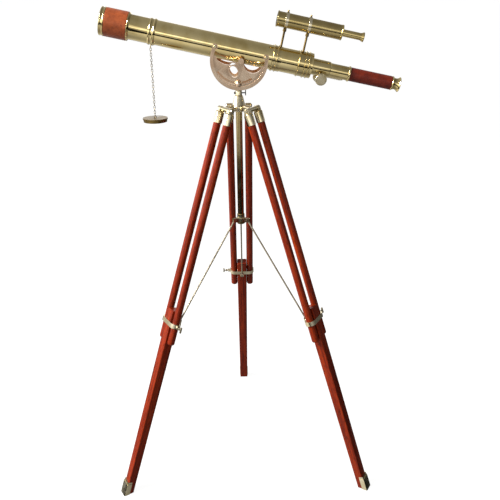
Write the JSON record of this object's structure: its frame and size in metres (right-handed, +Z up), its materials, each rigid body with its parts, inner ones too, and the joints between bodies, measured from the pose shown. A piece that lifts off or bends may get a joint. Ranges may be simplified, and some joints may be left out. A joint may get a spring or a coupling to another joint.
{
  "type": "telescope on tripod",
  "caption": "Brass refracting telescope with a finder on a half-moon mount and a folding hardwood tripod; legs slide and fold, telescope pans and tilts, focuser racks.",
  "frame": {"origin": "on the floor under the middle of the tripod", "axes": "+Z up, the objective end points to -X and the eyepiece end to +X; the tripod's rear leg points to +Y"},
  "size_m": [0.9634, 0.7826, 1.6326],
  "materials": {
    "polished_brass": "polished and lacquered",
    "cast_brass": "polished casting",
    "rose_brass": "polished, slightly rosy",
    "dull_brass": "satin",
    "dark_brass": "darkened",
    "grey_brass": "satin",
    "mahogany": "gloss varnish",
    "tan_leather": "smooth waxed, stitched",
    "dark_leather": "smooth waxed, stitched",
    "black_brass": "satin black lacquer",
    "lens_glass": "coated optical glass"
  },
  "bodies": {
    "mount": {"head_casting": "cast_brass", "column_tube": "polished_brass", "column_stop_cap": "dark_brass", "neck_stop_screw": "black_brass"},
    "neck_screw": {"neck_thumbscrew": "black_brass"},
    "hub": {"stay_hub": "cast_brass", "hub_pins": "cast_brass"},
    "yoke": {"yoke_post": "cast_brass", "clamp_bolt": "cast_brass"},
    "ball_knob": {"clamp_ball_knob": "rose_brass"},
    "telescope": {"half_moon_cheeks": "rose_brass", "lug_screws": "cast_brass", "front_tube": "polished_brass", "front_leather_wrap": "tan_leather", "objective_cell": "black_brass", "objective_lenses": "lens_glass", "middle_ring": "polished_brass", "main_barrel": "polished_brass", "barrel_collars": "polished_brass", "focuser_sleeve": "polished_brass", "finder_tube": "dull_brass", "finder_rings": "cast_brass", "finder_posts": "dark_brass"},
    "focuser": {"focus_pinion": "cast_brass", "focus_knobs": "cast_brass"},
    "draw": {"draw_tube": "polished_brass", "focus_rack": "cast_brass"},
    "eyepiece": {"eyepiece_tube": "polished_brass", "eyepiece_leather_grip": "dark_leather", "eyecup": "polished_brass", "eyepiece_lens": "lens_glass"},
    "finder_eyepiece": {"finder_draw_tube": "dull_brass", "finder_eye_lens": "lens_glass"},
    "chain": {"cap_chain": "grey_brass"},
    "cap": {"dust_cap": "dark_brass"},
    "leg_a": {"leg_a_ferrules": "cast_brass", "leg_a_rods": "mahogany", "leg_a_pins": "cast_brass", "leg_a_clamp_band": "cast_brass"},
    "lower_leg_a": {"lower_leg_a_bar": "mahogany", "lower_leg_a_shoe": "cast_brass"},
    "clamp_screw_a": {"leg_a_clamp_screw": "grey_brass"},
    "stay_a": {"stay_a": "grey_brass"},
    "leg_b": {"leg_b_ferrules": "cast_brass", "leg_b_rods": "mahogany", "leg_b_pins": "cast_brass", "leg_b_clamp_band": "cast_brass"},
    "lower_leg_b": {"lower_leg_b_bar": "mahogany", "lower_leg_b_shoe": "cast_brass"},
    "clamp_screw_b": {"leg_b_clamp_screw": "grey_brass"},
    "stay_b": {"stay_b": "grey_brass"},
    "leg_c": {"leg_c_ferrules": "cast_brass", "leg_c_rods": "mahogany", "leg_c_pins": "cast_brass", "leg_c_clamp_band": "cast_brass"},
    "lower_leg_c": {"lower_leg_c_bar": "mahogany", "lower_leg_c_shoe": "cast_brass"},
    "clamp_screw_c": {"leg_c_clamp_screw": "grey_brass"},
    "stay_c": {"stay_c": "grey_brass"}
  },
  "joints": [
    {"name": "leg_a_fold", "type": "hinge", "parent": "mount", "child": "leg_a", "pos_m": [-0.04183, -0.02415, 1.321], "axis": [0.5, -0.866, 0], "range_deg": [0, 15]},
    {"name": "lower_leg_a_slide", "type": "slide", "parent": "leg_a", "child": "lower_leg_a", "axis": [0.2748, 0.1587, 0.9483], "range_m": [-0.02, 0.45]},
    {"name": "clamp_screw_a_turn", "type": "hinge", "parent": "leg_a", "child": "clamp_screw_a", "pos_m": [-0.2418, -0.1396, 0.63091], "axis": [0.5, -0.866, 0], "range_deg": [0, 540]},
    {"name": "stay_a_swing", "type": "hinge", "parent": "hub", "child": "stay_a", "pos_m": [-0.02079, -0.012, 0.948], "axis": [0.5, -0.866, 0], "range_deg": [0, 29.5]},
    {"name": "leg_b_fold", "type": "hinge", "parent": "mount", "child": "leg_b", "pos_m": [0.04183, -0.02415, 1.321], "axis": [0.5, 0.866, 0], "range_deg": [0, 15.1]},
    {"name": "lower_leg_b_slide", "type": "slide", "parent": "leg_b", "child": "lower_leg_b", "axis": [-0.2748, 0.1587, 0.9483], "range_m": [-0.02, 0.45]},
    {"name": "clamp_screw_b_turn", "type": "hinge", "parent": "leg_b", "child": "clamp_screw_b", "pos_m": [0.2418, -0.1396, 0.63091], "axis": [0.5, 0.866, 0], "range_deg": [0, 540]},
    {"name": "stay_b_swing", "type": "hinge", "parent": "hub", "child": "stay_b", "pos_m": [0.02079, -0.012, 0.948], "axis": [0.5, 0.866, 0], "range_deg": [0, 29.5]},
    {"name": "leg_c_fold", "type": "hinge", "parent": "mount", "child": "leg_c", "pos_m": [0, 0.0483, 1.321], "axis": [-1, 0, 0], "range_deg": [0, 15.1]},
    {"name": "lower_leg_c_slide", "type": "slide", "parent": "leg_c", "child": "lower_leg_c", "axis": [0, -0.3173, 0.9483], "range_m": [-0.02, 0.45]},
    {"name": "clamp_screw_c_turn", "type": "hinge", "parent": "leg_c", "child": "clamp_screw_c", "pos_m": [0, 0.2792, 0.63091], "axis": [-1, 0, 0], "range_deg": [0, 540]},
    {"name": "stay_c_swing", "type": "hinge", "parent": "hub", "child": "stay_c", "pos_m": [0, 0.024, 0.948], "axis": [-1, 0, 0], "range_deg": [0, 29.5]},
    {"name": "hub_slide", "type": "slide", "parent": "mount", "child": "hub", "axis": [0, 0, 1], "range_m": [0, 0.0455]},
    {"name": "neck_screw_turn", "type": "hinge", "parent": "mount", "child": "neck_screw", "pos_m": [0, 0, 1.3695], "axis": [1, 0, 0], "range_deg": [0, 360]},
    {"name": "pan", "type": "hinge", "parent": "mount", "child": "yoke", "pos_m": [0, 0, 1.34], "axis": [0, 0, 1], "continuous": true},
    {"name": "tilt", "type": "hinge", "parent": "yoke", "child": "telescope", "pos_m": [0, 0, 1.479], "axis": [0, 1, 0], "range_deg": [-40, 28]},
    {"name": "ball_knob_turn", "type": "hinge", "parent": "yoke", "child": "ball_knob", "pos_m": [0, 0, 1.405], "axis": [0, 1, 0], "range_deg": [0, 540]},
    {"name": "focus_turn", "type": "hinge", "parent": "telescope", "child": "focuser", "pos_m": [0.25536, 0, 1.41112], "axis": [0, 1, 0], "range_deg": [-431, 288]},
    {"name": "draw_slide", "type": "slide", "parent": "telescope", "child": "draw", "axis": [0.9763, 0, -0.2164], "range_m": [-0.045, 0.03]},
    {"name": "eyepiece_slide", "type": "slide", "parent": "draw", "child": "eyepiece", "axis": [0.9763, 0, -0.2164], "range_m": [0, 0.045]},
    {"name": "finder_draw_slide", "type": "slide", "parent": "telescope", "child": "finder_eyepiece", "axis": [0.9763, 0, -0.2164], "range_m": [-0.03, 0.02]},
    {"name": "chain_swing", "type": "hinge", "parent": "telescope", "child": "chain", "pos_m": [-0.26825, 0, 1.50834], "axis": [0, 1, 0], "range_deg": [-28.5, 40.5]},
    {"name": "cap_swing", "type": "hinge", "parent": "chain", "child": "cap", "pos_m": [-0.26825, 0, 1.30234], "axis": [1, 0, 0], "range_deg": [-60, 60]}
  ],
  "couplings": [
    {"joint": "stay_a_swing", "follows": "leg_a_fold", "ratio": 1.9611},
    {"joint": "leg_b_fold", "follows": "leg_a_fold", "ratio": 1},
    {"joint": "stay_b_swing", "follows": "leg_a_fold", "ratio": 1.9611},
    {"joint": "leg_c_fold", "follows": "leg_a_fold", "ratio": 1},
    {"joint": "stay_c_swing", "follows": "leg_a_fold", "ratio": 1.9611},
    {"joint": "hub_slide", "follows": "leg_a_fold", "m_per_rad": 0.17307},
    {"joint": "focus_turn", "follows": "draw_slide", "rad_per_m": 166.67},
    {"joint": "chain_swing", "follows": "tilt", "ratio": -1}
  ]
}
